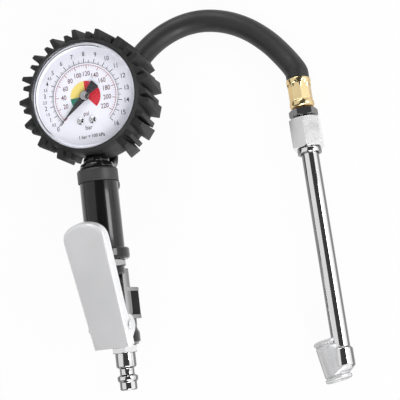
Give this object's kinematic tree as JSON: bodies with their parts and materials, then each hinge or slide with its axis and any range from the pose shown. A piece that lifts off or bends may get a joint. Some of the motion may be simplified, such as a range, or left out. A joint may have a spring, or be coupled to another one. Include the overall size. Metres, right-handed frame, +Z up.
{
  "type": "tire pressure gauge",
  "caption": "Hand-held tyre inflator with a dial pressure gauge in a rubber boot, a trigger handle, and a hose ending in a double-ended air chuck.",
  "frame": {"origin": "on the surface the tool lies on, under the middle of the box of the tool without its hose and ferrules", "axes": "+Z up and out of the dial (the dial leans back by six degrees), +Y from the inlet up the handle to the gauge, +X from the handle to the chuck arm"},
  "size_m": [0.1742, 0.2312, 0.0539],
  "materials": {
    "boot_rubber": "matt moulded rubber",
    "hose_rubber": "matt extruded rubber",
    "seal_rubber": "moulded seal rubber",
    "black_casting": "gloss black enamel on die-cast metal",
    "black_plastic": "moulded",
    "chrome": "bright nickel-chrome plate",
    "satin_steel": "satin-finished sheet and pins",
    "brass": "drawn and pressed brass",
    "white_plastic": "moulded",
    "dial_white": "matt white printed sheet",
    "pointer_black": "matt black",
    "clear_lens": "clear moulded window"
  },
  "bodies": {
    "inflator_body": {"arm_ferrule": "brass", "arm_nut": "chrome", "arm_seal": "seal_rubber", "bleed_spring": "satin_steel", "body_seal": "seal_rubber", "bourdon_tube": "brass", "chrome_tube": "chrome", "chuck_body": "chrome", "chuck_seal_lower": "seal_rubber", "chuck_seal_upper": "seal_rubber", "dial_plate": "dial_white", "dial_screw_left": "chrome", "dial_screw_right": "chrome", "dial_spacer": "white_plastic", "gauge_case": "black_plastic", "gauge_socket": "brass", "hairspring": "satin_steel", "handle_tube": "black_casting", "head_casting": "black_casting", "head_seal": "seal_rubber", "hex_coupling": "chrome", "hex_nut": "chrome", "hose": "hose_rubber", "inlet_nipple": "chrome", "inlet_seal": "seal_rubber", "lens": "clear_lens", "lever_pin": "satin_steel", "lower_collar": "black_casting", "movement_bridge": "brass", "movement_plate": "brass", "pin_clip": "satin_steel", "port_ferrule": "brass", "port_nut": "chrome", "rubber_boot": "boot_rubber", "tube_collar": "chrome", "upper_collar": "black_plastic", "valve_body": "black_casting", "valve_plug": "chrome", "valve_spring": "satin_steel"},
    "lever_body": {"lever": "satin_steel"},
    "valve_stem": {"valve_pin": "satin_steel", "valve_seat_seal": "seal_rubber"},
    "pointer_body": {"pointer": "pointer_black", "pointer_hub": "satin_steel"},
    "sector_body": {"sector_gear": "brass"},
    "link_body": {"tube_link": "satin_steel"},
    "bleed_body": {"bleed_button": "chrome"},
    "upper_chuck_pin": {"chuck_pin_upper": "brass"},
    "lower_chuck_pin": {"chuck_pin_lower": "brass"}
  },
  "joints": [
    {"name": "lever_press", "type": "hinge", "parent": "inflator_body", "child": "lever_body", "pos_m": [-0.04762, -0.06522, 0.02355], "axis": [-0.9781, 0.0217, -0.2068], "range_deg": [0, 8], "stiffness_Nm_per_rad": 1, "springref_deg": -2.86},
    {"name": "valve_open", "type": "slide", "parent": "inflator_body", "child": "valve_stem", "axis": [0.2079, 0.1022, -0.9728], "range_m": [0, 0.0018], "deforming": ["valve_spring"]},
    {"name": "pointer_turn", "type": "hinge", "parent": "inflator_body", "child": "pointer_body", "pos_m": [-0.0471, 0.0669, 0.04845], "axis": [0, 0.1045, -0.9945], "range_deg": [0, 270], "stiffness_Nm_per_rad": 0.0001, "springref_deg": -5.73},
    {"name": "sector_turn", "type": "hinge", "parent": "inflator_body", "child": "sector_body", "pos_m": [-0.0436, 0.05248, 0.04693], "axis": [0, -0.1045, 0.9945], "range_deg": [0, 22.6]},
    {"name": "link_pull", "type": "slide", "parent": "inflator_body", "child": "link_body", "axis": [0.7632, 0.6426, 0.0675], "range_m": [0, 0.00174]},
    {"name": "bleed_press", "type": "slide", "parent": "inflator_body", "child": "bleed_body", "axis": [-0.2079, -0.1022, 0.9728], "range_m": [0, 0.0012], "stiffness_N_per_m": 800, "springref_m": -0.0005, "deforming": ["bleed_spring"]},
    {"name": "upper_chuck_pin_slide", "type": "slide", "parent": "inflator_body", "child": "upper_chuck_pin", "axis": [0.2079, -0.9781, 0], "range_m": [0, 0.001], "stiffness_N_per_m": 800, "springref_m": -0.0003},
    {"name": "lower_chuck_pin_slide", "type": "slide", "parent": "inflator_body", "child": "lower_chuck_pin", "axis": [-0.2079, 0.9781, 0], "range_m": [0, 0.001], "stiffness_N_per_m": 800, "springref_m": -0.0003}
  ],
  "couplings": [
    {"joint": "valve_open", "follows": "lever_press", "m_per_rad": 0.0128},
    {"joint": "sector_turn", "follows": "pointer_turn", "ratio": 0.083333},
    {"joint": "link_pull", "follows": "pointer_turn", "m_per_rad": 0.000364}
  ]
}
